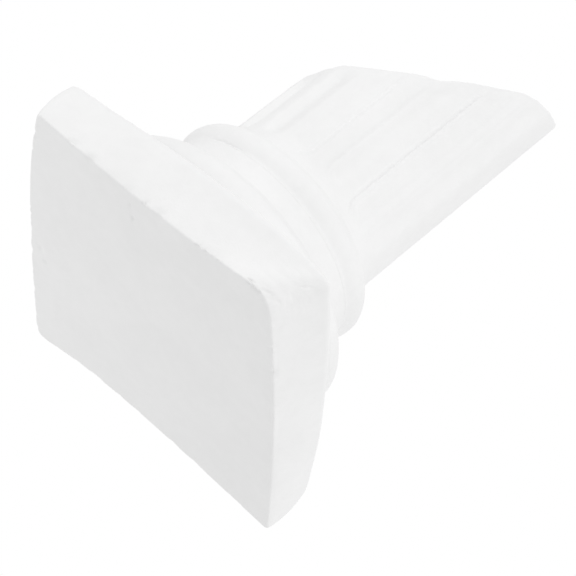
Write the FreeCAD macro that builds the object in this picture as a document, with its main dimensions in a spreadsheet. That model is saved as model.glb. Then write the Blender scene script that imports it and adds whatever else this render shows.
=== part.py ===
"""Broken stub of a Roman column in cast plaster.

A plinth, the mouldings of the base and a fluted shaft are bedded on each other over a core dowel. The plinth
stands on the XY plane with its middle at the origin, and the column's axis is parallel to Z. Each casting is
drawn from its own foot and lifted to its seat. Lengths are millimetres and angles are degrees.
"""
import FreeCAD, Part
import os
import Sketcher

SIZES = [
    # Plinth: a slab whose sides bow outwards towards the top, with one corner worn away at the foot.
    # The column stands a little off its middle, towards +X.
    ("plinth_width", 98.0),
    ("plinth_depth", 110.0),
    ("plinth_height", 18.5),
    ("foot_bow", 2.1),
    ("front_hollow", 1.9),
    ("back_hollow", 5.5),
    ("head_width", 101.0),
    ("head_depth", 107.0),
    ("head_width_bow", 4.6),
    ("head_depth_bow", 5.6),
    ("corner_round", 2.0),
    ("head_round", 2.0),
    ("foot_round", 0.7),
    ("worn_foot", 8.0),
    ("worn_head", 1.2),
    ("column_offset", 0.75),
    # Lower torus: the wide half-round moulding
    ("torus_radius", 47.9),
    ("torus_height", 13.4),
    # Scotia: the hollowed neck between the two round mouldings
    ("scotia_height", 10.3),
    ("scotia_setback", 0.6),
    ("scotia_head_radius", 35.1),
    ("scotia_band", 0.9),
    ("scotia_hollow", 1.3),
    # Upper torus: the narrower round moulding under the shaft
    ("ring_height", 9.2),
    ("ring_radius", 38.1),
    ("ring_overhang", 0.8),
    ("ring_shoulder", 2.2),
    ("ring_crest_share", 0.45),
    # Shaft: slightly tapered, fluted, broken off on a slant
    ("shaft_radius", 30.8),
    ("shaft_draw", 0.4),
    ("shaft_turn", 25.75),
    ("break_height", 66.3),
    ("break_angle", 45.0),
    ("flute_count", 16),
    ("flute_width", 7.0),
    ("flute_depth", 1.5),
    ("flute_foot", 5.7),
    # Joints between the castings: plaster beds, core dowel and locating pins
    ("bed_thickness", 0.6),
    ("bed_setback", 0.8),
    ("dowel_radius", 6.0),
    ("dowel_in_plinth", 12.0),
    ("dowel_in_shaft", 30.0),
    ("dowel_bevel", 0.8),
    ("pin_radius", 2.0),
    ("pin_depth", 5.0),
    ("pin_bevel", 0.4),
    ("torus_pin_spread", 28.0),
    ("shaft_pin_spread", 20.0),
    ("clearance", 0.2),
    ("end_gap", 0.6),
    ("overrun", 2.0),
]

doc = FreeCAD.newDocument("column")
sheet = doc.addObject("Spreadsheet::Sheet", "Sizes")
for row, (alias, size) in enumerate(SIZES, start=1):
    sheet.set(f"A{row}", alias)
    sheet.set(f"B{row}", str(size))
    sheet.setAlias(f"B{row}", alias)
doc.recompute()

# Place of the column's axis, and heights of the seats, worked out from the stack below each one
COLUMN_AXIS = "Sizes.column_offset"
TORUS_SEAT = "Sizes.plinth_height + Sizes.bed_thickness"
SCOTIA_SEAT = f"{TORUS_SEAT} + Sizes.torus_height + Sizes.bed_thickness"
RING_SEAT = f"{SCOTIA_SEAT} + Sizes.scotia_height + Sizes.bed_thickness"
SHAFT_SEAT = f"{RING_SEAT} + Sizes.ring_height + Sizes.bed_thickness"

# Radii that two pieces share
TORUS_FLAT = "Sizes.torus_radius - Sizes.torus_height / 2"
SCOTIA_FOOT = f"{TORUS_FLAT} - Sizes.scotia_setback"
RING_FOOT = "Sizes.scotia_head_radius + Sizes.ring_overhang"
RING_HEAD = "Sizes.shaft_radius + Sizes.ring_shoulder"
DOWEL_BORE = "Sizes.dowel_radius + Sizes.clearance"
PIN_BORE = "Sizes.pin_radius + Sizes.clearance"

# Share of a round corner's radius by which the middle of its arc stands in from the corner
ROUND_SHARE = "(1 - 1 / sqrt(2))"

# The blank of the shaft reaches above the high side of the break
BREAK_RISE = "Sizes.shaft_radius * tan(Sizes.break_angle * 1 deg)"
BLANK_HEIGHT = f"Sizes.break_height + {BREAK_RISE} + Sizes.overrun"

# A flute is a channel cut by a round-ended rod that stands parallel to the column's axis
FLUTE_HALF = "Sizes.flute_width / 2"
FLUTE_ROD = f"(({FLUTE_HALF}) ^ 2 + Sizes.flute_depth ^ 2) / (2 * Sizes.flute_depth)"
FLUTE_AXIS = f"sqrt(Sizes.shaft_radius ^ 2 - ({FLUTE_HALF}) ^ 2) - Sizes.flute_depth + {FLUTE_ROD}"
FLUTE_END = f"Sizes.flute_foot + sqrt(({FLUTE_ROD}) ^ 2 - ({FLUTE_AXIS} - Sizes.shaft_radius) ^ 2)"


def value(expression):
    """The number that an expression on the sheet comes to."""
    return float(sheet.evalExpression(expression))


def set_seat(item, across, seat, turn="0"):
    """Moves an object across to its axis, lifts it to its seat and turns it there."""
    turned = FreeCAD.Rotation(FreeCAD.Vector(0, 0, 1), value(turn))
    item.Placement = FreeCAD.Placement(FreeCAD.Vector(value(across), 0, value(seat)), turned)
    item.setExpression("Placement.Base.x", across)
    item.setExpression("Placement.Base.z", seat)
    item.setExpression("Placement.Rotation.Angle", turn)


def new_body(label, seat, turn="0", across=COLUMN_AXIS):
    """A casting with its own frame, set on its seat."""
    body = doc.addObject("PartDesign::Body", label)
    body.Label = label
    set_seat(body, across, seat, turn)
    return body


def new_sketch(body, name, role, lift="0"):
    """A sketch on one of the body's own planes, lifted along the plane's normal."""
    plane = next(item for item in body.Origin.OriginFeatures if item.Role == role)
    sketch = body.newObject("Sketcher::SketchObject", name)
    sketch.AttachmentSupport = [(plane, "")]
    sketch.MapMode = "FlatFace"
    sketch.setExpression("AttachmentOffset.Base.z", lift)
    return sketch


def fix_point(sketch, geometry, position, across, up):
    """Ties a point's two coordinates to expressions."""
    for kind, axis, expression in (("DistanceX", -2, across), ("DistanceY", -1, up)):
        if expression == "0":
            sketch.addConstraint(Sketcher.Constraint("PointOnObject", geometry, position, axis))
            continue
        index = sketch.addConstraint(Sketcher.Constraint(kind, -1, 1, geometry, position, value(expression)))
        sketch.setExpression(f"Constraints[{index}]", expression)


def draw_outline(sketch, corners):
    """A closed outline of corners (across, up), each with a point on the arc to the next one, if any."""
    places = [FreeCAD.Vector(value(corner[0]), value(corner[1]), 0) for corner in corners]
    edges = []
    for number, corner in enumerate(corners):
        start, end = places[number], places[(number + 1) % len(places)]
        if len(corner) == 4:
            middle = FreeCAD.Vector(value(corner[2]), value(corner[3]), 0)
            index = sketch.addGeometry(Part.Arc(start, middle, end))
            # A sketch keeps its arcs anticlockwise, so an arc drawn the other way starts at its second point
            offsets = [sketch.getPoint(index, position).distanceToPoint(start) for position in (1, 2)]
            edges.append((index, 2, 1) if offsets[0] > offsets[1] else (index, 1, 2))
            mark = sketch.addGeometry(Part.Point(middle), True)
            sketch.addConstraint(Sketcher.Constraint("PointOnObject", mark, 1, index))
            fix_point(sketch, mark, 1, corner[2], corner[3])
        else:
            edges.append((sketch.addGeometry(Part.LineSegment(start, end)), 1, 2))
    for number, (index, first, last) in enumerate(edges):
        following = edges[(number + 1) % len(edges)]
        sketch.addConstraint(Sketcher.Constraint("Coincident", index, last, following[0], following[1]))
        fix_point(sketch, index, first, corners[number][0], corners[number][1])


def draw_circles(sketch, circles):
    """Circles given as (across, up, radius)."""
    for across, up, radius in circles:
        centre = FreeCAD.Vector(value(across), value(up), 0)
        index = sketch.addGeometry(Part.Circle(centre, FreeCAD.Vector(0, 0, 1), value(radius)))
        fix_point(sketch, index, 3, across, up)
        size = sketch.addConstraint(Sketcher.Constraint("Radius", index, value(radius)))
        sketch.setExpression(f"Constraints[{size}]", radius)


def turn_profile(body, corners):
    """A solid of revolution about the body's Z from an outline drawn in its XZ plane."""
    sketch = new_sketch(body, f"{body.Name}_profile", "XZ_Plane")
    draw_outline(sketch, corners)
    solid = body.newObject("PartDesign::Revolution", f"{body.Name}_turned")
    solid.Profile = sketch
    solid.ReferenceAxis = (sketch, ["V_Axis"])
    solid.Angle = 360
    doc.recompute()
    return solid


def bore_holes(body, name, circles, depth, from_height=None):
    """Blind holes upwards from the body's foot, or downwards from a height."""
    before = body.Shape.Volume
    sketch = new_sketch(body, f"{body.Name}_{name}_plan", "XY_Plane", from_height or "0")
    draw_circles(sketch, circles)
    holes = body.newObject("PartDesign::Pocket", f"{body.Name}_{name}")
    holes.Profile = sketch
    holes.Reversed = from_height is None
    holes.setExpression("Length", depth)
    doc.recompute()
    if body.Shape.Volume >= before:
        raise RuntimeError(f"{body.Label}: {name} cut nothing")
    return holes


def pair(spread, middle="0"):
    """Centres of two pin holes on the body's X axis, either side of a middle, with their radius."""
    return [(f"{middle} + Sizes.{spread}", "0", PIN_BORE), (f"{middle} - Sizes.{spread}", "0", PIN_BORE)]


def slab_outline(half_width, half_depth, width_reach, front_reach, back_reach, worn):
    """Four sides, each an arc through its middle, and four round corners, the +X, -Y one worn further."""
    corner = "Sizes.corner_round"
    width_stop = f"({half_width} - {corner})"
    depth_stop = f"({half_depth} - {corner})"
    width_turn = f"({half_width} - {corner} * {ROUND_SHARE})"
    depth_turn = f"({half_depth} - {corner} * {ROUND_SHARE})"
    worn_width_stop = f"({half_width} - {worn})"
    worn_depth_stop = f"({half_depth} - {worn})"
    worn_width_turn = f"({half_width} - {worn} * {ROUND_SHARE})"
    worn_depth_turn = f"({half_depth} - {worn} * {ROUND_SHARE})"
    return [
        (f"-{width_stop}", f"-({half_depth})", "0", f"-({front_reach})"),
        (worn_width_stop, f"-({half_depth})", worn_width_turn, f"-{worn_depth_turn}"),
        (half_width, f"-{worn_depth_stop}", width_reach, "0"),
        (half_width, depth_stop, width_turn, depth_turn),
        (width_stop, half_depth, "0", back_reach),
        (f"-{width_stop}", half_depth, f"-{width_turn}", depth_turn),
        (f"-({half_width})", depth_stop, f"-({width_reach})", "0"),
        (f"-({half_width})", f"-{depth_stop}", f"-{width_turn}", f"-{depth_turn}"),
    ]


def make_plinth():
    """A slab lofted from a nearly straight foot to a bowed head, its edges eased by outlines drawn in."""
    body = new_body("plinth", "0", across="0")
    foot = ("Sizes.plinth_width / 2", "Sizes.plinth_depth / 2",
            "Sizes.foot_bow", "-Sizes.front_hollow", "-Sizes.back_hollow", "Sizes.worn_foot")
    head = ("Sizes.head_width / 2", "Sizes.head_depth / 2",
            "Sizes.head_width_bow", "Sizes.head_depth_bow", "Sizes.head_depth_bow", "Sizes.worn_head")
    eased = f"Sizes.head_round * {ROUND_SHARE}"
    levels = [
        (foot, "0", "Sizes.foot_round"),
        (foot, "Sizes.foot_round", "0"),
        (head, "Sizes.plinth_height - Sizes.head_round", "0"),
        (head, f"Sizes.plinth_height - {eased}", eased),
        (head, "Sizes.plinth_height", "Sizes.head_round"),
    ]
    sections = []
    for number, (outline, lift, inset) in enumerate(levels, start=1):
        width, depth, width_bow, front_bow, back_bow, worn = outline
        half_width = f"({width} - {inset})"
        half_depth = f"({depth} - {inset})"
        width_reach = f"({half_width} + {width_bow})"
        front_reach = f"({half_depth} + {front_bow})"
        back_reach = f"({half_depth} + {back_bow})"
        section = new_sketch(body, f"plinth_outline_{number}", "XY_Plane", lift)
        corners = slab_outline(half_width, half_depth, width_reach, front_reach, back_reach, worn)
        draw_outline(section, corners)
        sections.append(section)
    slab = body.newObject("PartDesign::AdditiveLoft", "plinth_slab")
    slab.Profile = sections[0]
    slab.Sections = sections[1:]
    slab.Ruled = True
    doc.recompute()
    socket = [(COLUMN_AXIS, "0", DOWEL_BORE)]
    bore_holes(body, "dowel_socket", socket, "Sizes.dowel_in_plinth", "Sizes.plinth_height")
    pins = pair("torus_pin_spread", COLUMN_AXIS)
    bore_holes(body, "pin_sockets", pins, "Sizes.pin_depth", "Sizes.plinth_height")
    return body


def make_lower_torus():
    """A half-round moulding, flat above and below, bored for the dowel."""
    body = new_body("lower_torus", TORUS_SEAT)
    turn_profile(body, [
        (DOWEL_BORE, "0"),
        (TORUS_FLAT, "0", "Sizes.torus_radius", "Sizes.torus_height / 2"),
        (TORUS_FLAT, "Sizes.torus_height"),
        (DOWEL_BORE, "Sizes.torus_height"),
    ])
    bore_holes(body, "pin_sockets", pair("torus_pin_spread"), "Sizes.pin_depth + Sizes.end_gap")
    return body


def make_scotia():
    """A hollow neck: a band at foot and head, and between them an arc drawn in from the straight line."""
    body = new_body("scotia", SCOTIA_SEAT)
    fall = f"({SCOTIA_FOOT} - Sizes.scotia_head_radius)"
    rise = "(Sizes.scotia_height - 2 * Sizes.scotia_band)"
    slant = f"sqrt({fall} ^ 2 + {rise} ^ 2)"
    turn_profile(body, [
        (DOWEL_BORE, "0"),
        (SCOTIA_FOOT, "0"),
        (SCOTIA_FOOT, "Sizes.scotia_band",
         f"({SCOTIA_FOOT} + Sizes.scotia_head_radius) / 2 - Sizes.scotia_hollow * {rise} / {slant}",
         f"Sizes.scotia_height / 2 - Sizes.scotia_hollow * {fall} / {slant}"),
        ("Sizes.scotia_head_radius", "Sizes.scotia_height - Sizes.scotia_band"),
        ("Sizes.scotia_head_radius", "Sizes.scotia_height"),
        (DOWEL_BORE, "Sizes.scotia_height"),
    ])
    return body


def make_upper_torus():
    """A round moulding that overhangs the scotia and closes in towards the shaft, with a ledge round it."""
    body = new_body("upper_torus", RING_SEAT, "Sizes.shaft_turn")
    turn_profile(body, [
        (DOWEL_BORE, "0"),
        (RING_FOOT, "0", "Sizes.ring_radius", "Sizes.ring_height * Sizes.ring_crest_share"),
        (RING_HEAD, "Sizes.ring_height"),
        (DOWEL_BORE, "Sizes.ring_height"),
    ])
    bore_holes(body, "pin_sockets", pair("shaft_pin_spread"), "Sizes.pin_depth", "Sizes.ring_height")
    return body


def make_shaft():
    """A tapered drum with round-ended flutes, cut off on a slant whose high side lies over a rib."""
    body = new_body("fluted_shaft", SHAFT_SEAT, "Sizes.shaft_turn")
    drum = turn_profile(body, [
        ("0", "0"),
        ("Sizes.shaft_radius", "0"),
        ("Sizes.shaft_radius - Sizes.shaft_draw", BLANK_HEIGHT),
        ("0", BLANK_HEIGHT),
    ])

    plan = new_sketch(body, "flute_profile", "XZ_Plane")
    plan.setExpression("AttachmentOffset.Base.x", FLUTE_AXIS)
    quarter = f"({FLUTE_ROD}) / sqrt(2)"
    draw_outline(plan, [
        ("0", f"{FLUTE_END} - {FLUTE_ROD}", quarter, f"{FLUTE_END} - {quarter}"),
        (FLUTE_ROD, FLUTE_END),
        (FLUTE_ROD, f"{BLANK_HEIGHT} + Sizes.overrun"),
        ("0", f"{BLANK_HEIGHT} + Sizes.overrun"),
    ])
    flute = body.newObject("PartDesign::Groove", "flute")
    flute.Profile = plan
    flute.ReferenceAxis = (plan, ["V_Axis"])
    flute.Angle = 360
    doc.recompute()
    if flute.Shape.Volume >= drum.Shape.Volume:
        raise RuntimeError("fluted_shaft: the flute cut nothing")
    flutes = body.newObject("PartDesign::PolarPattern", "flutes")
    flutes.Originals = [flute]
    flutes.Axis = (next(item for item in body.Origin.OriginFeatures if item.Role == "Z_Axis"), [""])
    flutes.Angle = 360
    flutes.setExpression("Occurrences", "Sizes.flute_count")
    body.Tip = flutes
    doc.recompute()

    reach = "(Sizes.shaft_radius + Sizes.overrun)"
    slope = "tan(Sizes.break_angle * 1 deg)"
    slant = new_sketch(body, "break_profile", "XZ_Plane")
    sideways = FreeCAD.Rotation(FreeCAD.Vector(0, 1, 0), 0)
    slant.AttachmentOffset = FreeCAD.Placement(FreeCAD.Vector(0, 0, 0), sideways)
    slant.setExpression("AttachmentOffset.Rotation.Angle", "180 / Sizes.flute_count")
    draw_outline(slant, [
        (f"-{reach}", f"Sizes.break_height - {reach} * {slope}"),
        (reach, f"Sizes.break_height + {reach} * {slope}"),
        (reach, f"Sizes.break_height + 2 * {reach} * {slope}"),
        (f"-{reach}", f"Sizes.break_height + 2 * {reach} * {slope}"),
    ])
    broken = body.newObject("PartDesign::Pocket", "break")
    broken.Profile = slant
    broken.SideType = "Symmetric"
    broken.setExpression("Length", f"2 * {reach}")
    doc.recompute()
    if broken.Shape.Volume >= flutes.Shape.Volume:
        raise RuntimeError("fluted_shaft: the break cut nothing")

    bore_holes(body, "dowel_socket", [("0", "0", DOWEL_BORE)], "Sizes.dowel_in_shaft + Sizes.end_gap")
    bore_holes(body, "pin_sockets", pair("shaft_pin_spread"), "Sizes.pin_depth + Sizes.end_gap")
    return body


def make_bed(label, seat, radius, spread=None, turn="0"):
    """A thin plaster disc under a seat, pierced for the dowel and any pins."""
    body = new_body(label, f"{seat} - Sizes.bed_thickness", turn)
    plan = new_sketch(body, f"{label}_plan", "XY_Plane")
    holes = pair(spread) if spread else []
    draw_circles(plan, [("0", "0", f"{radius} - Sizes.bed_setback"), ("0", "0", DOWEL_BORE)] + holes)
    disc = body.newObject("PartDesign::Pad", f"{label}_disc")
    disc.Profile = plan
    disc.setExpression("Length", "Sizes.bed_thickness")
    doc.recompute()
    return body


def turn_rod(body, radius, length, bevel):
    """A round rod on the body's axis with both ends bevelled."""
    return turn_profile(body, [
        ("0", "0"),
        (f"{radius} - {bevel}", "0"),
        (radius, bevel),
        (radius, f"{length} - {bevel}"),
        (f"{radius} - {bevel}", length),
        ("0", length),
    ])


def make_dowel():
    """A timber rod standing on the floor of the plinth's socket."""
    body = new_body("core_dowel", "Sizes.plinth_height - Sizes.dowel_in_plinth")
    length = f"({SHAFT_SEAT} - Sizes.plinth_height + Sizes.dowel_in_plinth + Sizes.dowel_in_shaft)"
    turn_rod(body, "Sizes.dowel_radius", length, "Sizes.dowel_bevel")
    return body


def make_pins(label, seat, spread, turn="0"):
    """Two like pins across a bed joint, standing on the floors of the lower sockets."""
    pins = []
    for name, side in (("right", ""), ("left", "-")):
        pin = new_body(f"{label}_{name}", "0", across=f"{side}Sizes.{spread}")
        turn_rod(pin, "Sizes.pin_radius", "(2 * Sizes.pin_depth + Sizes.bed_thickness)", "Sizes.pin_bevel")
        pins.append(pin)
    group = doc.addObject("Part::Fuse", label)
    group.Base, group.Tool = pins
    group.Label = label
    set_seat(group, COLUMN_AXIS, f"{seat} - Sizes.bed_thickness - Sizes.pin_depth", turn)
    doc.recompute()
    return group


nodes = [
    make_plinth(),
    make_lower_torus(),
    make_scotia(),
    make_upper_torus(),
    make_shaft(),
    make_bed("torus_bed", TORUS_SEAT, TORUS_FLAT, "torus_pin_spread"),
    make_bed("scotia_bed", SCOTIA_SEAT, SCOTIA_FOOT),
    make_bed("ring_bed", RING_SEAT, "Sizes.scotia_head_radius"),
    make_bed("shaft_bed", SHAFT_SEAT, "Sizes.shaft_radius", "shaft_pin_spread", "Sizes.shaft_turn"),
    make_dowel(),
    make_pins("torus_pins", TORUS_SEAT, "torus_pin_spread"),
    make_pins("shaft_pins", SHAFT_SEAT, "shaft_pin_spread", "Sizes.shaft_turn"),
]
doc.recompute()

for item in doc.Objects:
    if "Invalid" in item.State or "Error" in item.State:
        raise RuntimeError(f"{item.Label} failed: {item.State}")
for node in nodes:
    if node.Shape.isNull() or not node.Shape.isValid() or not node.Shape.Solids:
        raise RuntimeError(f"{node.Label} has no sound solid")

os.makedirs("parts", exist_ok=True)
for node in nodes:
    node.Shape.exportStep(f"parts/{node.Label}.step")
    print(node.Label, len(node.Shape.Solids), round(node.Shape.Volume), node.Shape.BoundBox)
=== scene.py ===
"""Dresses a short broken plaster column: skins over its castings, finishes for every piece, and a pale stage.

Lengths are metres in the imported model's frame. The underside lies on Z = 0 and the column rises along +Z. Each casting
gets a skin worked out on a grid: columns run anticlockwise round the axis, rows run from a pole under the piece to a
pole on top of it.
"""

import itertools
import math

import bpy
import numpy as np
from bpy.props import FloatProperty, FloatVectorProperty, PointerProperty
from mathutils import Matrix, Vector


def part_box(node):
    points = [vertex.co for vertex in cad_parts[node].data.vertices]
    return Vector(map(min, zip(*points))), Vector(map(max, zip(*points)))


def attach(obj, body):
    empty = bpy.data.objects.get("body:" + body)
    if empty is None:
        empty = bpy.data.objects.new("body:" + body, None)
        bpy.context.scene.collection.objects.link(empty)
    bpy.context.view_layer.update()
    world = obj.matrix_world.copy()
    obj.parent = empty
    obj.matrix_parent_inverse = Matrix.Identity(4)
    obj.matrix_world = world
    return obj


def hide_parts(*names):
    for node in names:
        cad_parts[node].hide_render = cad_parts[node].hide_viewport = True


bl_info = {
    "name": "Plaster Column Stub",
    "version": (1, 0, 0),
    "blender": (4, 5, 0),
    "location": "View3D > Sidebar > Column",
    "description": "Skins, finishes and stage for a short broken plaster column",
    "category": "Add Mesh",
}

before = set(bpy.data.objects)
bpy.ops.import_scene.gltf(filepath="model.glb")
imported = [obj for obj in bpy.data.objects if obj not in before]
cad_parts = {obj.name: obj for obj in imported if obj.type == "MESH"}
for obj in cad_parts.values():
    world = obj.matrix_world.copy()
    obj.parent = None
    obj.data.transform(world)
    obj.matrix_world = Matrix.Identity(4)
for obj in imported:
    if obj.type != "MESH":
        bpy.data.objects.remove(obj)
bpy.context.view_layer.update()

MM = 0.001
TURN = 2 * math.pi
WHITE = (1.0, 1.0, 1.0, 1.0)

PLINTH_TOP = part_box("plinth")[1].z
TORUS_LOW, TORUS_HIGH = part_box("lower_torus")
TORUS_HALF = (TORUS_HIGH.z - TORUS_LOW.z) / 2
SCOTIA_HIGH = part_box("scotia")[1]
RING_LOW, RING_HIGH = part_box("upper_torus")
SHAFT_LOW, SHAFT_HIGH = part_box("fluted_shaft")
SHAFT_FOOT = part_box("shaft_bed")[0].z
BEDS = ("torus_bed", "scotia_bed", "ring_bed", "shaft_bed")
TIMBERS = ("core_dowel", "torus_pins", "shaft_pins")

# The round skins stand a little towards +X of the solids' axis
AXIS_SHIFT = 0.2 * MM
AXIS_X = (TORUS_LOW.x + TORUS_HIGH.x) / 2 + AXIS_SHIFT
# Height of the upper round moulding's widest line
RING_CREST = RING_LOW.z + 0.48 * (RING_HIGH.z - RING_LOW.z)
# Radius of the shaft at its foot, and at the height of its tip
SHAFT_RADIUS = SHAFT_HIGH.y
SHAFT_TOP_RADIUS = SHAFT_RADIUS - 0.4 * MM
# How far a casting's lip and seat reach past the beds, to close the joints
BED_COVER = 0.35 * MM
# How deep the neck's foot is sunk in the moulding below it, and the cove's height for its spread
COVE_SINK = 0.5 * MM
COVE_RISE = 1.3
# How far the shaft is worn down at its rim
RIM_WORN = 0.3 * MM

# Fineness of the grids: points along a side and round a corner of the plinth, columns round the other castings, rows
SIDE_POINTS, CORNER_POINTS = 140, 32
ROUND_COLUMNS, FINE_COLUMNS = 480, 512
UNDERSIDE_ROWS, EDGE_ROWS, SIDE_ROWS, TOP_ROWS = 40, 7, 40, 15
TORUS_ROWS, NECK_ROWS, RING_ROWS = 64, 54, 40
LIP_ROWS, SEAT_ROWS = 4, 5
SHAFT_ROWS, RIM_ROWS, BREAK_ROWS = 112, 9, 34

# The plinth's corners in millimetres, anticlockwise from the one at -X and -Y, and how far each is rounded off
FOOT_CORNERS = ((-46.9, -55.3), (45.2, -57.0), (49.9, 57.5), (-50.5, 55.6))
HEAD_CORNERS = ((-50.0, -51.3), (53.0, -52.8), (48.8, 56.5), (-50.0, 54.0))
FOOT_ROUNDS = (2.5, 14.0, 1.5, 5.5)
HEAD_ROUNDS = (2.5, 2.2, 4.0, 3.0)
# How far the front, right, back and left sides bow out, and how far each bow leans to its anticlockwise end
FOOT_BOWS = (-3.3, 2.3, -4.5, 3.1)
HEAD_BOWS = (5.3, 3.3, 3.2, 4.4)
FOOT_LEANS = (0.25, 0.0, 0.55, 0.45)
HEAD_LEANS = (0.75, 0.25, 0.0, 0.0)
# How far each corner's upright edge swells out at half height, or is drawn in where the number is below 0
CORNER_SWELLS = (1.2, -1.2, 1.5, 0.0)
# Which of the corners is worn, and about half the plinth's width
WORN_CORNER = 1
PLINTH_HALF = 50 * MM
# Heights over which the plinth's lumps set in above its foot, how far the small chips reach from the lower edge, and
# the distances from the worn corner at which its wrinkles die out and are full
LUMPS_SET_IN = (0.2 * MM, 2.0 * MM)
NIBBLE_REACH = 2.6 * MM
WRINKLES_FADE = (17 * MM, 3 * MM)

# Chips and pits in millimetres: place, reach and depth
CHIPS = (
    (-25.1, -53.6, 0.0, 2.6, 0.7),
    (-9.0, -47.3, 0.0, 1.0, 0.4),
    (-7.8, -41.6, 0.0, 1.3, 0.6),
    (2.2, -53.0, 0.0, 3.0, 0.7),
    (-47.6, 8.4, 0.0, 2.2, 0.6),
    (-45.6, 13.4, 0.0, 1.6, 0.5),
    (49.5, -34.9, 0.0, 1.4, 0.5),
    (50.0, -18.4, 0.0, 1.1, 0.4),
    (51.4, 6.0, 0.0, 1.5, 0.5),
)

# Short cracks in the worn corner, in millimetres: both ends, half the width and the depth
CRACKS = (
    ((34.6, -56.8, 0.8), (37.6, -55.4, 0.9), 0.6, 0.4),
    ((37.6, -55.4, 0.9), (39.6, -53.6, 0.7), 0.6, 0.4),
    ((41.2, -53.2, 1.6), (43.4, -52.2, 2.8), 0.7, 0.35),
    ((42.8, -51.6, 1.6), (45.4, -50.6, 3.6), 0.7, 0.3),
    ((48.6, -52.6, 10.8), (50.2, -52.4, 12.2), 0.8, 0.35),
)

# The crack under the upper round moulding: the angles in degrees where it starts, is at its deepest, thins and ends,
# then its height above the seam, how far it wanders up and down, and half its width
SEAM_CRACK_TURNS = (-126, -119, -106, -101)
SEAM_CRACK_RISE, SEAM_CRACK_WANDER, SEAM_CRACK_WIDTH = 0.7 * MM, 0.4 * MM, 0.35 * MM

# Waves of the broken rim: angle round the axis in degrees, spread in degrees, rise in millimetres
RIM_WAVES = (
    (-120.0, 17.0, 3.0),
    (-70.0, 6.0, -1.5),
    (-31.0, 17.0, 2.3),
    (5.0, 12.0, -0.9),
    (55.0, 22.0, -1.6),
    (120.0, 20.0, 1.6),
    (170.0, 14.0, -1.4),
)

# Flutes, cast from hand work and so not quite even: angle of the middle in degrees, then in millimetres the width, the
# depth, and how deep a line is scored along the edge at the lower and at the higher angle
FLUTES = (
    (-136.0, 8.4, 2.4, 0.0, 0.1),
    (-113.5, 7.4, 1.6, 0.0, 0.3),
    (-91.0, 7.4, 1.2, 0.0, 0.95),
    (-64.0, 7.4, 1.0, 0.7, 0.0),
    (-40.5, 7.4, 1.3, 1.3, 0.0),
    (-18.5, 8.4, 0.8, 0.25, 0.0),
    (4.0, 7.4, 0.3, 0.0, 0.0),
    (26.0, 7.2, 0.9, 0.0, 0.1),
    (48.0, 7.2, 1.3, 0.1, 0.2),
    (70.0, 7.4, 1.4, 0.2, 0.0),
    (92.5, 7.2, 1.3, 0.0, 0.3),
    (114.5, 7.4, 1.4, 0.1, 0.1),
    (136.5, 7.2, 1.5, 0.3, 0.0),
    (158.5, 7.4, 1.3, 0.0, 0.2),
    (180.5, 7.2, 1.4, 0.2, 0.1),
    (202.5, 7.4, 1.4, 0.1, 0.2),
)

# Soft lamps: the setting that holds the power, the place and the width; all face one point
LAMPS = (
    ("key", (0.29, -1.25, 0.3), 0.9),
    ("upper", (-0.75, -0.8, 0.75), 0.9),
    ("right", (1.15, 0.57, 0.0), 0.9),
    ("left", (-0.36, 0.03, -0.32), 0.6),
    ("back", (-0.1, 0.5, 1.2), 0.9),
)
LAMP_TARGET = (0.0, 0.0, 0.06)
SENSOR_WIDTH = 36.0

# The floor's radius, how far it lies under the column, where its fade to white starts and ends, and its fineness
FLOOR_RADIUS = 1.2
FLOOR_DROP = 0.2 * MM
FLOOR_FADE = (0.1, 0.42)
FLOOR_RINGS, FLOOR_SPOKES = 25, 96


def length(name, description, millimetres):
    """A property that holds a length, given here in millimetres."""
    return FloatProperty(
        name=name,
        description=description,
        default=millimetres * MM,
        unit="LENGTH",
        subtype="DISTANCE",
        precision=5,
    )


def degrees(name, description, turn):
    """A property that holds an angle, given here in degrees."""
    return FloatProperty(
        name=name,
        description=description,
        default=math.radians(turn),
        unit="ROTATION",
        subtype="ANGLE",
    )


def colour(name, description, shade):
    """A property that holds a linear colour."""
    return FloatVectorProperty(
        name=name,
        description=description,
        default=shade,
        subtype="COLOR",
        min=0.0,
        max=1.0,
    )


def lamp_power(name, description, watts):
    """A property that holds the power of a lamp."""
    return FloatProperty(name=name, description=description, default=watts, unit="POWER")


class PlinthSizes(bpy.types.PropertyGroup):
    foot_round: length("Foot round", "Round of the edge at the underside", 0.6)
    head_round: length("Head round", "Round of the upper edge", 2.2)
    ragged: length("Ragged edge", "Depth of the small chips along the underside's edge", 0.5)
    uneven: length("Unevenness", "How far the cast sides stand off a true surface", 0.28)
    wrinkle: length("Wrinkles", "Depth of the rough skin round the worn corner", 0.3)


class MouldingSizes(bpy.types.PropertyGroup):
    uneven: length("Unevenness", "How far the turned mouldings stand off a true surface", 0.16)
    hollow: length("Hollow", "How far the neck between the round mouldings is drawn in", 1.5)
    cove: length("Cove", "How far the neck's foot spreads over the lower round moulding", 3.2)
    ring_wear: length("Ring wear", "How far the upper round moulding's crest is worn down", 0.3)
    neck_head: length("Neck head", "Radius of the neck at its upper end", 36.4)
    crease: length("Crease", "Softness of the crease between the neck and the upper round moulding", 0.8)
    ring_bend: length("Ring bend", "Radius of the upper round moulding's lower half in section", 4.4)
    ring_head: length("Ring head", "Radius of the upper round moulding's ledge round the shaft", 33.1)
    crack: length("Crack", "Depth of the short crack under the upper round moulding", 0.35)


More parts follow.
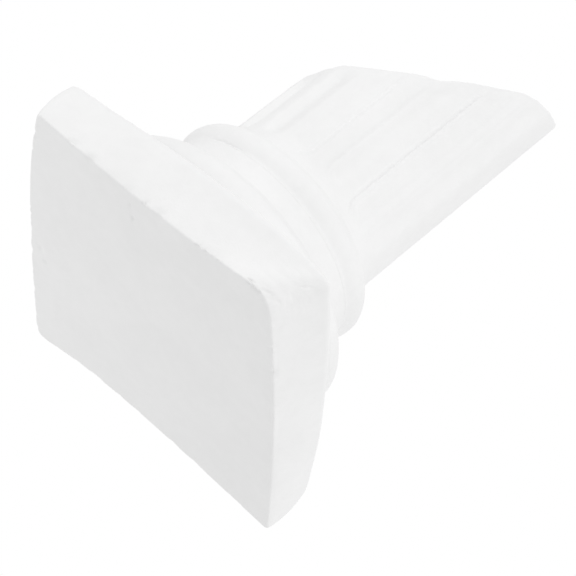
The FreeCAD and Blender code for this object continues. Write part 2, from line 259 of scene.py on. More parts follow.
class ShaftSizes(bpy.types.PropertyGroup):
    flute_foot: length("Flute foot", "Height of the flutes' rounded ends above the shaft's foot", 5.7)
    rib_round: length("Rib round", "Softness of the arris between rib and flute", 0.22)
    score_width: length("Score width", "Half the width of the lines scored along the flutes' edges", 0.95)
    flare: length("Flare", "How far the shaft's foot spreads over the ledge below it", 2.3)
    flare_height: length("Flare height", "Height of the spread foot", 7.0)
    wear: length("Rim wear", "Height under the rim over which the flutes run out", 8.0)
    rim_round: length("Rim round", "Round of the broken rim", 1.5)
    rim_lift: length("Rim lift", "How far the rim stands above the broken end's plane", 0.9)
    break_turn: degrees("Break turn", "Angle round the axis of the broken end's high side", 37.0)
    break_slope: degrees("Break slope", "Slope of the broken end", 45.0)
    rough: length("Broken face", "Height of the broken face's lumps", 1.5)
    uneven: length("Unevenness", "How far the shaft stands off a true surface", 0.14)


class Finishes(bpy.types.PropertyGroup):
    plaster: colour("Plaster", "Colour of the castings", (0.90, 0.90, 0.90))
    bedding: colour("Bedding", "Colour of the plaster beds", (0.70, 0.69, 0.66))
    timber: colour("Timber", "Colour of the dowel and pins", (0.48, 0.30, 0.14))


class StageSettings(bpy.types.PropertyGroup):
    lens: FloatProperty(name="Lens", description="Focal length in millimetres", default=206.3, unit="CAMERA")
    place: FloatVectorProperty(
        name="Camera", description="Camera's place", default=(0.4055, -0.7811, -0.4074), subtype="TRANSLATION"
    )
    sight: FloatVectorProperty(
        name="Sight", description="Direction of view", default=(-0.3946, 0.7983, 0.4549), subtype="DIRECTION"
    )
    upright: FloatVectorProperty(
        name="Upright", description="Up in the picture", default=(-0.5702, -0.601, 0.5601), subtype="DIRECTION"
    )
    fill: FloatProperty(name="Fill", description="Strength of the even light from all round", default=0.68)
    key: lamp_power("Key", "Power of the soft lamp at the front", 5.3)
    upper: lamp_power("Upper", "Power of the soft lamp above", 1.25)
    right: lamp_power("Right", "Power of the soft lamp at the right", 4.4)
    left: lamp_power("Left", "Power of the soft lamp low at the left", 0.71)
    back: lamp_power("Back", "Power of the soft lamp overhead and behind", 1.8)
    floor: colour("Floor", "Colour of the floor", (0.88, 0.88, 0.88))


class ColumnSettings(bpy.types.PropertyGroup):
    plinth: PointerProperty(type=PlinthSizes, name="Plinth", description="Sizes of the plinth's skin")
    mouldings: PointerProperty(type=MouldingSizes, name="Mouldings", description="Sizes of the mouldings' skins")
    shaft: PointerProperty(type=ShaftSizes, name="Shaft", description="Sizes of the shaft's skin")
    finishes: PointerProperty(type=Finishes, name="Finishes", description="Colours of the pieces")
    stage: PointerProperty(type=StageSettings, name="Stage", description="Camera, lamps and floor")


def ease(low, high, amount):
    """A smooth step: 0 below low, 1 above high, and 3t^2 - 2t^3 of the share t between them."""
    share = np.clip((amount - low) / (high - low), 0.0, 1.0)
    return share * share * (3 - 2 * share)


def dent(near):
    """A rounded dent: (1 - n^2)^2 for a distance n below 1, and 0 beyond."""
    return np.maximum(1 - near * near, 0.0) ** 2


def hashed(cells, seed):
    """A number from 0 to 1 for each whole-number cell: its coordinates times large odd numbers, folded together."""
    mixed = (cells[..., 0] * 73856093) ^ (cells[..., 1] * 19349663) ^ (cells[..., 2] * 83492791) ^ (seed * 2654435761)
    mixed = (mixed ^ (mixed >> 13)) * 1274126177
    return ((mixed ^ (mixed >> 16)) & 0xFFFF) / 0xFFFF


def lumps(points, grain, seed, octaves):
    """Value noise from -1 to 1: hashed numbers at the corners of a lattice of that grain, eased between them.
    Each further octave is half as wide and half as strong as the one before."""
    total, weight, reach = 0.0, 1.0, 0.0
    for octave in range(octaves):
        place = points * (2**octave / grain)
        cell = np.floor(place).astype(np.int64)
        part = place - cell
        part = part * part * (3 - 2 * part)
        layer = 0.0
        for corner in itertools.product((0, 1), repeat=3):
            share = np.prod(np.where(corner, part, 1 - part), axis=-1)
            layer = layer + share * hashed(cell + np.array(corner), seed + octave)
        total = total + weight * (2 * layer - 1)
        reach += weight
        weight /= 2
    return total / reach


def outward(grid):
    """Unit normals of a closed grid: the step round crossed with the step up."""
    across = np.roll(grid, -1, axis=1) - np.roll(grid, 1, axis=1)
    normal = np.cross(across, np.gradient(grid, axis=0))
    return normal / np.maximum(np.linalg.norm(normal, axis=-1, keepdims=True), 1e-12)


def level_poles(grid):
    """Makes the first and last rows of a grid single points."""
    grid[0] = grid[0].mean(axis=0)
    grid[-1] = grid[-1].mean(axis=0)
    return grid


def turned(radius, height, angle):
    """Carries a profile round the column's axis: each row has a radius and a height, for all angles or for each."""
    radius, height, angle = np.broadcast_arrays(radius, height, angle)
    return np.stack([AXIS_X + radius * np.cos(angle), radius * np.sin(angle), height], axis=-1)


def from_line(grid, normal, start, end):
    """How far each point lies from the line between two ends; of the way along its normal only a fifth counts."""
    along = end - start
    share = np.clip((grid - start) @ along / (along @ along), 0.0, 1.0)
    gap = grid - start - share[..., None] * along
    lift = np.sum(gap * normal, axis=-1, keepdims=True)
    return np.linalg.norm(gap - 0.8 * lift * normal, axis=-1)


def make_piece(name, grid, node, finish):
    """Skins a grid: quads between its rows, and a fan of triangles from each pole, all facing outwards."""
    rows, columns = grid.shape[:2]
    points = np.vstack([grid[0, :1], grid[1:-1].reshape(-1, 3), grid[-1, :1]])
    number = 1 + np.arange((rows - 2) * columns).reshape(rows - 2, columns)
    ahead = np.roll(number, -1, axis=1)
    quads = np.stack([number[:-1], ahead[:-1], ahead[1:], number[1:]], axis=-1).reshape(-1, 4)
    low = np.stack([np.zeros(columns, int), ahead[0], number[0]], axis=-1)
    high = np.stack([number[-1], ahead[-1], np.full(columns, len(points) - 1)], axis=-1)
    mesh = bpy.data.meshes.new(name)
    mesh.from_pydata(points.tolist(), [], low.tolist() + quads.tolist() + high.tolist())
    mesh.polygons.foreach_set("use_smooth", np.ones(len(mesh.polygons), bool))
    mesh.materials.append(finish)
    if mesh.validate():
        raise RuntimeError(f"the grid of {name} has faces that don't hold")
    piece = bpy.data.objects.new(name, mesh)
    bpy.context.collection.objects.link(piece)
    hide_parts(node)
    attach(piece, "root")


def slab_outlines(corners, bows, leans, rounds):
    """One closed outline a row, anticlockwise. A side is the straight line between two corners, pushed outwards by
    bow (1 - f^2) exp(lean f), where f runs from -1 to 1. Each corner is cut back by its round on both sides and
    bridged by a parabola that has the corner as its control point."""
    ahead = np.roll(corners, -1, axis=1)
    along = ahead - corners
    span = np.linalg.norm(along, axis=-1)
    out = np.stack([along[..., 1], -along[..., 0]], axis=-1) / span[..., None]
    first = -1 + 2 * rounds / span
    last = 1 - 2 * np.roll(rounds, -1, axis=1) / span
    f = first[..., None] + (last - first)[..., None] * np.linspace(0, 1, SIDE_POINTS)
    bulge = bows[..., None] * (1 - f * f) * np.exp(leans[..., None] * f)
    sides = (
        corners[:, :, None]
        + along[:, :, None] * ((f + 1) / 2)[..., None]
        + out[:, :, None] * bulge[..., None]
    )
    t = (np.arange(1, CORNER_POINTS + 1) / (CORNER_POINTS + 1))[:, None]
    start, end = sides[:, :, -1:], np.roll(sides[:, :, :1], -1, axis=1)
    bridges = (1 - t) ** 2 * start + 2 * t * (1 - t) * ahead[:, :, None] + t**2 * end
    return np.concatenate([sides, bridges], axis=2).reshape(len(corners), -1, 2)


def plinth_rows(sizes):
    """The plinth's rows go out over the underside, closer together towards its edge, then round the edge, up the sides,
    round the upper edge and in over the top. Each has a share of the full outline, a distance by which the edge rounds
    draw it in, and a height."""
    foot_round, head_round = sizes.foot_round, sizes.head_round
    reach = 1 - (1 - np.linspace(0, 1, UNDERSIDE_ROWS)[:-1]) ** 1.8
    bend = np.linspace(0, math.pi / 2, EDGE_ROWS)
    rise = np.linspace(foot_round, PLINTH_TOP - head_round, SIDE_ROWS)[1:-1]
    inward = 1 - np.linspace(0, 1, TOP_ROWS)[1:] ** 0.7
    scale = np.concatenate([reach, np.ones(2 * len(bend) + len(rise)), inward])
    inset = np.concatenate([
        np.full(len(reach), foot_round),
        foot_round * (1 - np.sin(bend)),
        np.zeros(len(rise)),
        head_round * (1 - np.cos(bend)),
        np.full(len(inward), head_round),
    ])
    height = np.concatenate([
        np.zeros(len(reach)),
        foot_round * (1 - np.cos(bend)),
        rise,
        PLINTH_TOP - head_round * (1 - np.sin(bend)),
        np.full(len(inward), PLINTH_TOP),
    ])
    return scale[:, None], inset[:, None], height[:, None]


def plinth_wear(sizes, grid, normal, edge):
    """How far each point of the plinth moves along its normal: broad and fine lumps on the sides, small chips that are
    deepest at the front and fade with the distance from the lower edge, wrinkles round the worn corner, placed chips
    and short cracks."""
    tall = grid[..., 2]
    beside = ease(*LUMPS_SET_IN, tall) * ease(0.0, 1.0 * MM, PLINTH_TOP - tall + 0.5 * MM)
    broad = lumps(grid, grain=17 * MM, seed=3, octaves=2)
    fine = lumps(grid, grain=4 * MM, seed=5, octaves=2)
    move = sizes.uneven * beside * (broad + 0.4 * fine)

    front = ease(20 * MM, -20 * MM, grid[..., 1] + 0.6 * tall) * 0.6 + 0.4
    nibbles = np.maximum(lumps(grid * (1, 1, 0.3), grain=3.2 * MM, seed=11, octaves=3) - 0.05, 0.0)
    move = move - 2.2 * sizes.ragged * front * nibbles * ease(NIBBLE_REACH, 0.0, edge)

    foot_corner = np.array(FOOT_CORNERS[WORN_CORNER]) * MM
    head_corner = np.array(HEAD_CORNERS[WORN_CORNER]) * MM
    corner_line = foot_corner + (head_corner - foot_corner) * (tall / PLINTH_TOP)[..., None]
    away = np.linalg.norm(grid[..., :2] - corner_line, axis=-1)
    worn = ease(*WRINKLES_FADE, away) * ease(0.3 * MM, 2.0 * MM, tall) * ease(PLINTH_TOP, 0.5 * PLINTH_TOP, tall)
    folds = lumps(grid * (0.8, 0.8, 1.6), grain=4.2 * MM, seed=21, octaves=3)
    creases = lumps(grid * (0.5, 0.5, 2.0), grain=1.8 * MM, seed=27, octaves=2)
    move = move + sizes.wrinkle * worn * (folds + 0.5 * creases - 0.3)

    for *place, reach, depth in CHIPS:
        away = np.linalg.norm(grid - np.array(place) * MM, axis=-1)
        move = move - depth * MM * dent(away / (reach * MM))
    for start, end, width, depth in CRACKS:
        away = from_line(grid, normal, np.array(start) * MM, np.array(end) * MM)
        move = move - depth * MM * dent(away / (width * MM))
    return move


def plinth_grid(sizes):
    """Each row is an outline between the foot's and the head's, drawn in by the edge rounds. Its wear then moves the
    points along their normals, but not below the underside."""
    scale, inset, height = plinth_rows(sizes)
    share = height / PLINTH_TOP

    def between(foot, head, power=1.0):
        """A measure at each row's height, given in millimetres at the foot and at the head."""
        foot, head = np.array(foot) * MM, np.array(head) * MM
        return foot + (head - foot) * share.reshape((-1,) + (1,) * foot.ndim) ** power

    swell = np.array(CORNER_SWELLS) * MM * 4 * share * (1 - share)
    corners = between(FOOT_CORNERS, HEAD_CORNERS)
    corners = corners + np.sign(corners) * (swell / math.sqrt(2) - inset)[..., None]
    leans = between(FOOT_LEANS, HEAD_LEANS) / MM
    rounds = between(FOOT_ROUNDS, HEAD_ROUNDS, power=0.5)
    outline = slab_outlines(corners, between(FOOT_BOWS, HEAD_BOWS), leans, rounds) * scale[..., None]
    tall = np.broadcast_to(height, outline.shape[:2])
    grid = np.concatenate([outline, tall[..., None]], axis=-1)

    edge = np.linalg.norm(np.stack([np.broadcast_to(inset, tall.shape), tall], axis=-1), axis=-1)
    edge = np.where(scale < 1, sizes.foot_round + (1 - scale) * PLINTH_HALF, edge)
    normal = outward(grid)
    grid = grid + normal * plinth_wear(sizes, grid, normal, edge)[..., None]
    grid[..., 2] = np.maximum(grid[..., 2], 0.0)
    return level_poles(grid)


def cast_round(bed, node, upper_bed, radius, height, columns=ROUND_COLUMNS):
    """A casting's outline carried round the axis. It runs from the lower pole over the bed that the casting stands on,
    down a lip that closes the joint round that bed, up the moulded side, and in over the seat of the next bed."""
    low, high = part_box(node)
    bed_low, bed_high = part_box(bed)
    lip, seat = bed_high.y + BED_COVER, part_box(upper_bed)[1].y + BED_COVER
    under, top = np.linspace(0, lip, LIP_ROWS), np.linspace(seat, 0, SEAT_ROWS)
    radius = np.concatenate([under, [lip], radius, top])
    height = np.concatenate([np.full(len(under), low.z), [bed_low.z], height, np.full(len(top), high.z)])
    return turned(radius[:, None], height[:, None], np.arange(columns) * (TURN / columns))


def weathered(grid, depth, sunk=0.0):
    """Moves the outer points of a grid away from the axis by broad and fine lumps, less what is sunk."""
    broad = lumps(grid, grain=15 * MM, seed=31, octaves=2)
    fine = lumps(grid, grain=3 * MM, seed=36, octaves=2)
    move = depth * (broad + 0.35 * fine) - sunk
    away = grid[..., :2] - (AXIS_X, 0.0)
    radius = np.hypot(away[..., 0], away[..., 1])
    outer = ease(0.7, 0.8, radius / radius.max()) / np.maximum(radius, MM)
    grid[..., :2] += away * (move * outer)[..., None]
    return level_poles(grid)


def lower_torus_grid(sizes):
    """A half circle as tall as the casting, carried round the axis, over a short upright lip."""
    bend = np.linspace(-math.pi / 2, math.pi / 2, TORUS_ROWS)
    radius = TORUS_HIGH.y - TORUS_HALF + TORUS_HALF * np.cos(bend)
    height = TORUS_LOW.z + TORUS_HALF + TORUS_HALF * np.sin(bend)
    radius, height = np.append(radius[:1], radius), np.append(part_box("torus_bed")[0].z, height)
    return weathered(cast_round("torus_bed", "lower_torus", "scotia_bed", radius, height), sizes.uneven)


def cove_foot(sizes):
    """Height at which the neck's spread foot comes down on the half circle of the lower round moulding."""
    beyond = SCOTIA_HIGH.y + sizes.cove - (TORUS_HIGH.y - TORUS_HALF)
    return TORUS_LOW.z + TORUS_HALF + math.sqrt(TORUS_HALF**2 - beyond**2)


def neck_radius(sizes, height):
    """Radius of the neck and of the upper round moulding's lower half, run together. The neck narrows from foot to head
    by a straight line less a half sine wave, the hollow, and its foot spreads by a parabola, the cove, which starts a
    little steeper than the moulding below; the upper moulding is a circle. Where neck and circle meet, the wider wins,
    with a soft crease: s log(exp(neck / s) + exp(circle / s))."""
    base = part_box("scotia_bed")[0].z
    share = np.clip((height - base) / (SCOTIA_HIGH.z - base), 0.0, 1.0)
    neck = SCOTIA_HIGH.y + (sizes.neck_head - SCOTIA_HIGH.y) * share - sizes.hollow * np.sin(math.pi * share)
    neck = neck + sizes.cove * np.maximum(1 - (height - cove_foot(sizes)) / (COVE_RISE * sizes.cove), 0.0) ** 2
    bend = sizes.ring_bend
    crest = RING_HIGH.y - sizes.ring_wear
    circle = crest - bend + np.sqrt(np.maximum(bend**2 - (height - RING_CREST) ** 2, 0.0))
    return sizes.crease * np.logaddexp(neck / sizes.crease, circle / sizes.crease)


def scotia_grid(sizes):
    """The neck, from its foot, which is sunk a little into the lower round moulding, up to the seam in the crease."""
    height = np.linspace(cove_foot(sizes) - COVE_SINK, SCOTIA_HIGH.z, NECK_ROWS)
    radius = neck_radius(sizes, height)
    return weathered(cast_round("scotia_bed", "scotia", "ring_bed", radius, height), sizes.uneven)


def upper_torus_grid(sizes):
    """The lower half rises from the seam in the crease. The upper half is the arc of a circle that is upright at the
    crest and ends at the ledge round the shaft. A short crack is sunk in the crease: a bell across a wandering line."""
    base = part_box("ring_bed")[0].z
    low = np.linspace(base, RING_CREST, RING_ROWS)
    lower = neck_radius(sizes, low)
    drop, away = lower[-1] - sizes.ring_head, RING_HIGH.z - RING_CREST
    bend = (drop * drop + away * away) / (2 * drop)
    turn = np.linspace(0, math.asin(min(away / bend, 1.0)), RING_ROWS)[1:]
    radius = np.concatenate([lower, lower[-1] - bend + bend * np.cos(turn)])
    height = np.concatenate([low, RING_CREST + bend * np.sin(turn)])
    grid = cast_round("ring_bed", "upper_torus", "shaft_bed", radius, height, FINE_COLUMNS)

    starts, deepest, thins, ends = SEAM_CRACK_TURNS
    angle = np.degrees(np.arctan2(grid[..., 1], grid[..., 0] - AXIS_X))
    line = base + SEAM_CRACK_RISE + SEAM_CRACK_WANDER * lumps(grid * (1, 1, 0), grain=3 * MM, seed=51, octaves=2)
    bell = np.exp(-(((grid[..., 2] - line) / SEAM_CRACK_WIDTH) ** 2))
    crack = ease(starts, deepest, angle) * ease(ends, thins, angle) * bell
    crack = crack * (np.hypot(grid[..., 0] - AXIS_X, grid[..., 1]) > sizes.ring_head)
    return weathered(grid, sizes.uneven, sizes.crack * crack)


def broken_height(sizes, x, y):
    """Height of the broken face: a sloping plane, the rim's waves and lumps. A wave is a bell round the axis and grows
    with the cube of the radius; the broad lumps fade towards the rim."""
    slope = math.tan(sizes.break_slope)
    across = x * math.cos(sizes.break_turn) + y * math.sin(sizes.break_turn)
    turn = np.degrees(np.arctan2(y, x))
    out = np.hypot(x, y) / SHAFT_RADIUS
    waves = sizes.rim_lift
    for centre, spread, rise in RIM_WAVES:
        gap = (turn - centre + 180) % 360 - 180
        waves = waves + rise * MM * np.exp(-((gap / spread) ** 2))
    spot = np.stack([x, y, 0 * x], axis=-1)
    broad = lumps(spot, grain=11 * MM, seed=61, octaves=3)
    fine = lumps(spot, grain=2.6 * MM, seed=67, octaves=2)
    rough = broad * (1 - ease(0.6, 1.0, out)) + 0.25 * fine
    return SHAFT_HIGH.z - SHAFT_TOP_RADIUS * slope + slope * across + waves * out**3 + sizes.rough * rough


def flute_sink(sizes, angle, height):
    """How far the flutes sink into the shaft. Each sinks by depth (1 - (a / half width)^2) at the distance a from its
    middle, softened where it meets the rib, with a round lower end. The scored lines are bells across its edges."""
    sink = 0.0
    for middle, width, depth, *scored in FLUTES:
        half = width * MM / 2
        gap = ((angle - math.radians(middle) + math.pi) % TURN - math.pi) * SHAFT_RADIUS
        round_end = SHAFT_LOW.z + sizes.flute_foot + half
        gone = np.hypot(gap, np.maximum(round_end - height, 0.0)) / half
        sink = sink + sizes.rib_round * np.logaddexp(0.0, depth * MM * (1 - gone * gone) / sizes.rib_round)
        line = np.exp(-(((gone - 1) * half / sizes.score_width) ** 2))
        for cut, toward in zip(scored, (-1, 1)):
            sink = sink + cut * MM * line * ease(-0.3 * half, 0.6 * half, toward * gap)
    return sink


def shaft_grid(sizes):
    """A slightly tapered drum on a spread foot, with flutes that run out under the rim. The drum stops at the broken
    face; a parabola rounds the rim between side and face."""
    angle = np.arange(FINE_COLUMNS) * (TURN / FINE_COLUMNS)

    def break_at(radius):
        """Height of the broken face at a radius, for every angle."""
        return broken_height(sizes, radius * np.cos(angle), radius * np.sin(angle))

    rim = np.minimum(break_at(SHAFT_TOP_RADIUS), SHAFT_HIGH.z)
    stop = rim - sizes.rim_round
    height = SHAFT_FOOT + (stop - SHAFT_FOOT) * np.linspace(0, 1, SHAFT_ROWS)[:, None]
    left = ease(0.0, sizes.wear, rim - height - 0.25 * sizes.rim_round)
    taper = SHAFT_RADIUS + (SHAFT_TOP_RADIUS - SHAFT_RADIUS) * (height - SHAFT_FOOT) / (SHAFT_HIGH.z - SHAFT_FOOT)
    spread_foot = sizes.flare * np.maximum(1 - (height - SHAFT_FOOT) / sizes.flare_height, 0.0) ** 2
    side = taper + spread_foot - flute_sink(sizes, angle, height) * left - RIM_WORN * (1 - left) ** 2

    t = np.linspace(0, 1, RIM_ROWS)[1:, None]
    corner = side[-1:]
    inner = corner - sizes.rim_round
    bend = (1 - t) ** 2 * corner + 2 * t * (1 - t) * corner + t**2 * inner
    bend_z = (1 - t) ** 2 * stop + 2 * t * (1 - t) * rim + t**2 * break_at(inner[0])
    face = inner * np.linspace(1, 0, BREAK_ROWS)[1:, None]

    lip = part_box("shaft_bed")[1].y + BED_COVER
    base = np.linspace(0, lip, LIP_ROWS)[:, None] + 0 * angle
    radii = np.concatenate([base, np.full((1, FINE_COLUMNS), lip), side, bend, face])
    heights = np.concatenate([
        np.full(base.shape, SHAFT_LOW.z),
        np.full((1, FINE_COLUMNS), SHAFT_FOOT),
        height,
        bend_z,
        break_at(face),
    ])
    grid = turned(radii, heights, angle)
    broad = lumps(grid * (1, 1, 0.6), grain=12 * MM, seed=71, octaves=2)
    fine = lumps(grid, grain=3 * MM, seed=75, octaves=2)
    move = sizes.uneven * (broad + 0.4 * fine) * ease(SHAFT_LOW.z, SHAFT_LOW.z + MM, heights)
    return level_poles(grid + outward(grid) * move[..., None])


class Value:
    """One value in a node tree: an output socket. Sums and products of values add Math nodes, and node() adds any
    other node to the same tree."""

    def __init__(self, tree, socket=None):
        self.tree, self.socket = tree, socket

    def node(self, kind, settings=None, inputs=None, output=0):
        """Adds a node: first its settings, then a number, colour or value for each of its sockets."""
        made = self.tree.nodes.new(kind)
        for name, setting in (settings or {}).items():
            setattr(made, name, setting)
        for name, given in (inputs or {}).items():
            if isinstance(given, Value):
                self.tree.links.new(given.socket, made.inputs[name])
            else:
                made.inputs[name].default_value = given
        return Value(self.tree, made.outputs[output] if made.outputs else None)

    def beside(self, output):
        """Another output of the same node."""
        return Value(self.tree, self.socket.node.outputs[output])

    def maths(self, operation, first, second):
        """A Math node on two numbers or values."""
        return self.node("ShaderNodeMath", {"operation": operation}, {0: first, 1: second})

    def __add__(self, other):
        return self.maths("ADD", self, other)

    def __radd__(self, other):
        return self.maths("ADD", other, self)

    def __sub__(self, other):
        return self.maths("SUBTRACT", self, other)

    def __rsub__(self, other):
        return self.maths("SUBTRACT", other, self)

    def __mul__(self, other):
        return self.maths("MULTIPLY", self, other)

    def __rmul__(self, other):
        return self.maths("MULTIPLY", other, self)

    def eased(self, low, high):
        """A smooth step from 0 at low to 1 at high."""
        return self.node(
            "ShaderNodeMapRange",
            {"interpolation_type": "SMOOTHSTEP"},
            {"Value": self, "From Min": low, "From Max": high},
        )

    def noise(self, scale, detail, rough=0.5):
        """Noise on this vector."""
        return self.node(
            "ShaderNodeTexNoise", {}, {"Vector": self, "Scale": scale, "Detail": detail, "Roughness": rough}
        )

    def tint(self, low, high):
        """A colour between two, by this share."""
        return self.node(
            "ShaderNodeMix", {"data_type": "RGBA"}, {"Factor": self, 6: (*low, 1.0), 7: (*high, 1.0)}, 2
        )


def new_finish(name):
    """An empty material, and a value that adds nodes to it."""
    finish = bpy.data.materials.new(name)
    finish.use_nodes = True
    finish.node_tree.nodes.clear()
    return finish, Value(finish.node_tree)


def shaded(shade, part):
    """A colour times a number."""
    return tuple(channel * part for channel in shade)


def plaster_finish(name, shade, grit, pitted):
    """Matte cast plaster: broad faint mottling in its colour, a fine grain, and scattered sunk pits whose colour is a
    little darker, which is painted shade in the hollows. Pitted is the share of cells that have a pit."""
    finish, start = new_finish(name)
    place = start.node("ShaderNodeTexCoord", output="Object")
    mottle = place.noise(scale=38.0, detail=4.0, rough=0.62)
    grain = place.noise(scale=1500.0, detail=2.0, rough=0.6)
    swell = place.noise(scale=260.0, detail=3.0, rough=0.55)
    cells = start.node(
        "ShaderNodeTexVoronoi", {}, {"Vector": place, "Scale": 190.0, "Randomness": 1.0}, "Distance"
    )
    lot = cells.beside("Color")
    chosen = lot.maths("GREATER_THAN", lot, 1 - pitted)
    pits = (1 - cells.eased(0.05, 0.16)) * chosen
    # The mottling is the plaster's own tone; the pits darken it as painted shade in the hollows
    mottle_and_pit_shade = (mottle.eased(0.3, 0.7) * 0.7 + swell.eased(0.3, 0.7) * 0.3) * (1 - 0.6 * pits)
    relief = swell * 0.5 + grain * (0.35 * grit) - pits
    bump = start.node("ShaderNodeBump", {}, {"Strength": 0.5, "Distance": 0.22 * MM, "Height": relief})
    shader = start.node(
        "ShaderNodeBsdfPrincipled",
        {},
        {
            "Base Color": mottle_and_pit_shade.tint(shaded(shade, 0.98), shaded(shade, 1.015)),
            "Roughness": 0.84 + 0.1 * swell,
            "Specular IOR Level": 0.25,
            "Normal": bump,
        },
    )
    start.node("ShaderNodeOutputMaterial", {}, {"Surface": shader})
    return finish


def timber_finish(name, shade):
    """Bare dowel wood: growth rings about the upright, broken up by fibres that run along it."""
    finish, start = new_finish(name)
    place = start.node("ShaderNodeTexCoord", output="Object")
    drawn = start.node("ShaderNodeMapping", {}, {"Vector": place, "Scale": (1.0, 1.0, 0.06)})
    rings = start.node(
        "ShaderNodeTexWave",
        {"wave_type": "RINGS", "rings_direction": "Z"},
        {"Vector": drawn, "Scale": 180.0, "Distortion": 2.5, "Detail": 2.0},
    )
    fibre = drawn.noise(scale=1600.0, detail=3.0, rough=0.6)
    figure = rings * 0.55 + fibre * 0.45
    bump = start.node("ShaderNodeBump", {}, {"Strength": 0.4, "Distance": 0.2 * MM, "Height": figure})
    shader = start.node(
        "ShaderNodeBsdfPrincipled",
        {},
        {
            "Base Color": figure.tint(shaded(shade, 0.7), shaded(shade, 1.15)),
            "Roughness": 0.62 + 0.2 * fibre,
            "Normal": bump,
        },
    )
    start.node("ShaderNodeOutputMaterial", {}, {"Surface": shader})
    return finish


def plaster(settings):
    """The castings' finish, made once."""
    return bpy.data.materials.get("cast_plaster") or plaster_finish(
        "cast_plaster", settings.finishes.plaster, grit=1.0, pitted=0.12
    )


class COLUMN_OT_plinth(bpy.types.Operator):
    """Skins the plinth with its bowed sides, worn corner and chipped lower edge"""

    bl_idname = "column.plinth"
    bl_label = "Plinth"

    def execute(self, context):
        settings = context.scene.column
        make_piece("plinth_cast", plinth_grid(settings.plinth), "plinth", plaster(settings))
        return {"FINISHED"}


class COLUMN_OT_mouldings(bpy.types.Operator):
    """Skins the two round mouldings and the hollow neck between them"""

    bl_idname = "column.mouldings"
    bl_label = "Mouldings"

    def execute(self, context):
        settings = context.scene.column
        finish = plaster(settings)
        for node, grid in (
            ("lower_torus", lower_torus_grid),
            ("scotia", scotia_grid),
            ("upper_torus", upper_torus_grid),
        ):
            make_piece(f"{node}_cast", grid(settings.mouldings), node, finish)
        return {"FINISHED"}


class COLUMN_OT_shaft(bpy.types.Operator):
    """Skins the fluted shaft up to its broken end"""

    bl_idname = "column.shaft"
    bl_label = "Shaft"

    def execute(self, context):
        settings = context.scene.column
        make_piece("shaft_cast", shaft_grid(settings.shaft), "fluted_shaft", plaster(settings))
        return {"FINISHED"}


class COLUMN_OT_inside(bpy.types.Operator):
    """Gives the plaster beds, the dowel and the pins their finishes"""

    bl_idname = "column.inside"
    bl_label = "Beds, dowel and pins"

    def execute(self, context):
        finishes = context.scene.column.finishes
        bedding = plaster_finish("bed_plaster", finishes.bedding, grit=2.0, pitted=0.3)
        timber = timber_finish("dowel_timber", finishes.timber)
        for names, finish in ((BEDS, bedding), (TIMBERS, timber)):
            for name in names:
                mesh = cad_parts[name].data
                mesh.materials.clear()
                mesh.materials.append(finish)
        return {"FINISHED"}


def aimed(place, sight, upright):
    """The matrix of a camera or lamp at a place, looking along a sight with a given up."""
    back = -Vector(sight).normalized()
    across = Vector(upright).cross(back).normalized()
    turn = Matrix((across, back.cross(across), back)).transposed()
    return Matrix.Translation(Vector(place)) @ turn.to_4x4()


def add_camera(stage):
    """The camera, which looks up from below the level of the underside."""
    camera = bpy.data.cameras.new("view")
    camera.lens, camera.sensor_width = stage.lens, SENSOR_WIDTH
    held = bpy.data.objects.new("view", camera)
    held.matrix_world = aimed(stage.place, stage.sight, stage.upright)
    bpy.context.collection.objects.link(held)
    bpy.context.scene.camera = held


def add_lamp(name, power, place, width):
    """A square soft lamp that faces the middle of the column."""
    lamp = bpy.data.lights.new(name, "AREA")
    lamp.energy, lamp.size = power, width
    held = bpy.data.objects.new(name, lamp)
    held.matrix_world = aimed(place, Vector(LAMP_TARGET) - Vector(place), (0, 0, 1))
    bpy.context.collection.objects.link(held)


def add_surroundings(fill):
    """Surroundings that are seen as white, also mirrored or through the floor, and light the column by the fill."""
    world = bpy.data.worlds.new("surroundings")
    world.use_nodes = True
    world.node_tree.nodes.clear()
    start = Value(world.node_tree)
    rays = start.node("ShaderNodeLightPath", output="Is Camera Ray")
    seen = rays.maths("MAXIMUM", rays, rays.beside("Is Glossy Ray"))
    seen = rays.maths("MAXIMUM", seen, rays.beside("Is Transmission Ray"))
    white = start.node("ShaderNodeBackground", {}, {"Color": WHITE, "Strength": fill + (1 - fill) * seen})
    start.node("ShaderNodeOutputWorld", {}, {"Surface": white})
    bpy.context.scene.world = world


def floor_finish(shade):
    """Pale matte floor that turns into the backdrop's white with distance, and isn't there from below."""
    finish, start = new_finish("pale_floor")
    place = start.node("ShaderNodeTexCoord", output="Object")
    away = start.node("ShaderNodeVectorMath", {"operation": "LENGTH"}, {0: place}, "Value")
    below = start.node("ShaderNodeNewGeometry", output="Backfacing")
    matte = start.node(
        "ShaderNodeBsdfPrincipled",
        {},
        {
            "Base Color": place.noise(scale=60.0, detail=2.0).tint(shaded(shade, 0.995), shade),
            "Roughness": 0.9,
            "Specular IOR Level": 0.1,
        },
    )
    white = start.node("ShaderNodeEmission", {}, {"Color": WHITE, "Strength": 1.0})
    faded = start.node("ShaderNodeMixShader", {}, {0: away.eased(*FLOOR_FADE), 1: matte, 2: white})
    clear = start.node("ShaderNodeBsdfTransparent")
    mixed = start.node("ShaderNodeMixShader", {}, {0: below, 1: faded, 2: clear})
    start.node("ShaderNodeOutputMaterial", {}, {"Surface": mixed})
    return finish


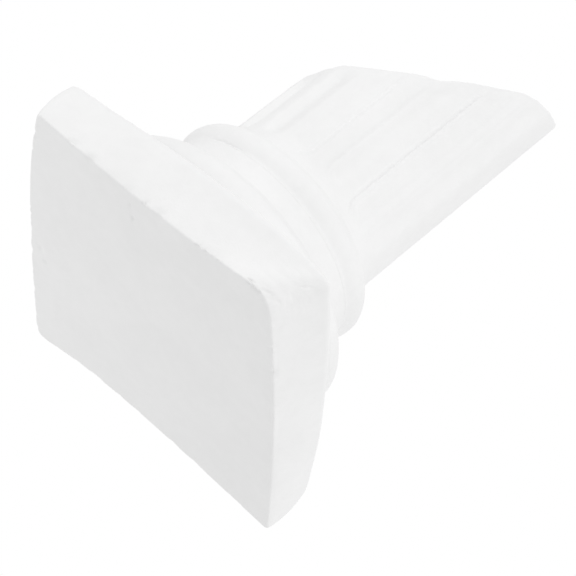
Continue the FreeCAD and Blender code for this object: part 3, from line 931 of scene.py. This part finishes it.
def add_floor(shade):
    """A round floor: rings of quads about a fan of triangles. It takes the column's shadow and sends no light back."""
    ring = np.linspace(0, FLOOR_RADIUS, FLOOR_RINGS)[:, None]
    angle = np.arange(FLOOR_SPOKES) * (TURN / FLOOR_SPOKES)
    level = np.full((FLOOR_RINGS, FLOOR_SPOKES), -FLOOR_DROP)
    grid = np.stack([ring * np.cos(angle), ring * np.sin(angle), level], axis=-1)
    number = np.arange(level.size).reshape(level.shape)
    ahead = np.roll(number, -1, axis=1)
    quads = np.stack([number[1:-1], number[2:], ahead[2:], ahead[1:-1]], axis=-1).reshape(-1, 4)
    fan = np.stack([np.zeros(FLOOR_SPOKES, int), number[1], ahead[1]], axis=-1)
    mesh = bpy.data.meshes.new("floor")
    mesh.from_pydata(grid.reshape(-1, 3).tolist(), [], fan.tolist() + quads.tolist())
    mesh.materials.append(floor_finish(shade))
    floor = bpy.data.objects.new("floor", mesh)
    bpy.context.collection.objects.link(floor)
    for rays_of in ("diffuse", "glossy", "transmission", "volume_scatter", "shadow"):
        setattr(floor, f"visible_{rays_of}", False)


class COLUMN_OT_stage(bpy.types.Operator):
    """Sets up the camera, the soft lamps, the white surroundings and the pale floor"""

    bl_idname = "column.stage"
    bl_label = "Stage"

    def execute(self, context):
        stage = context.scene.column.stage
        add_camera(stage)
        for name, place, width in LAMPS:
            add_lamp(f"{name}_lamp", getattr(stage, name), place, width)
        add_surroundings(stage.fill)
        add_floor(stage.floor)
        context.scene.view_settings.view_transform = "Standard"
        return {"FINISHED"}


OPERATORS = (COLUMN_OT_plinth, COLUMN_OT_mouldings, COLUMN_OT_shaft, COLUMN_OT_inside, COLUMN_OT_stage)


class COLUMN_PT_sidebar(bpy.types.Panel):
    """Lists the column's operators and settings"""

    bl_idname = "COLUMN_PT_sidebar"
    bl_label = "Plaster Column"
    bl_space_type = "VIEW_3D"
    bl_region_type = "UI"
    bl_category = "Column"

    def draw(self, context):
        for operator in OPERATORS:
            self.layout.operator(operator.bl_idname)
        settings = context.scene.column
        for group in (settings.plinth, settings.mouldings, settings.shaft, settings.finishes, settings.stage):
            box = self.layout.box()
            for name in group.__annotations__:
                box.prop(group, name)


CLASSES = (
    PlinthSizes,
    MouldingSizes,
    ShaftSizes,
    Finishes,
    StageSettings,
    ColumnSettings,
    *OPERATORS,
    COLUMN_PT_sidebar,
)


def register():
    for each in CLASSES:
        bpy.utils.register_class(each)
    bpy.types.Scene.column = PointerProperty(type=ColumnSettings)


def unregister():
    del bpy.types.Scene.column
    for each in reversed(CLASSES):
        bpy.utils.unregister_class(each)


def main():
    """Builds the pieces in order."""
    register()
    bpy.ops.column.plinth()
    bpy.ops.column.mouldings()
    bpy.ops.column.shaft()
    bpy.ops.column.inside()
    bpy.ops.column.stage()


if __name__ == "__main__":
    main()
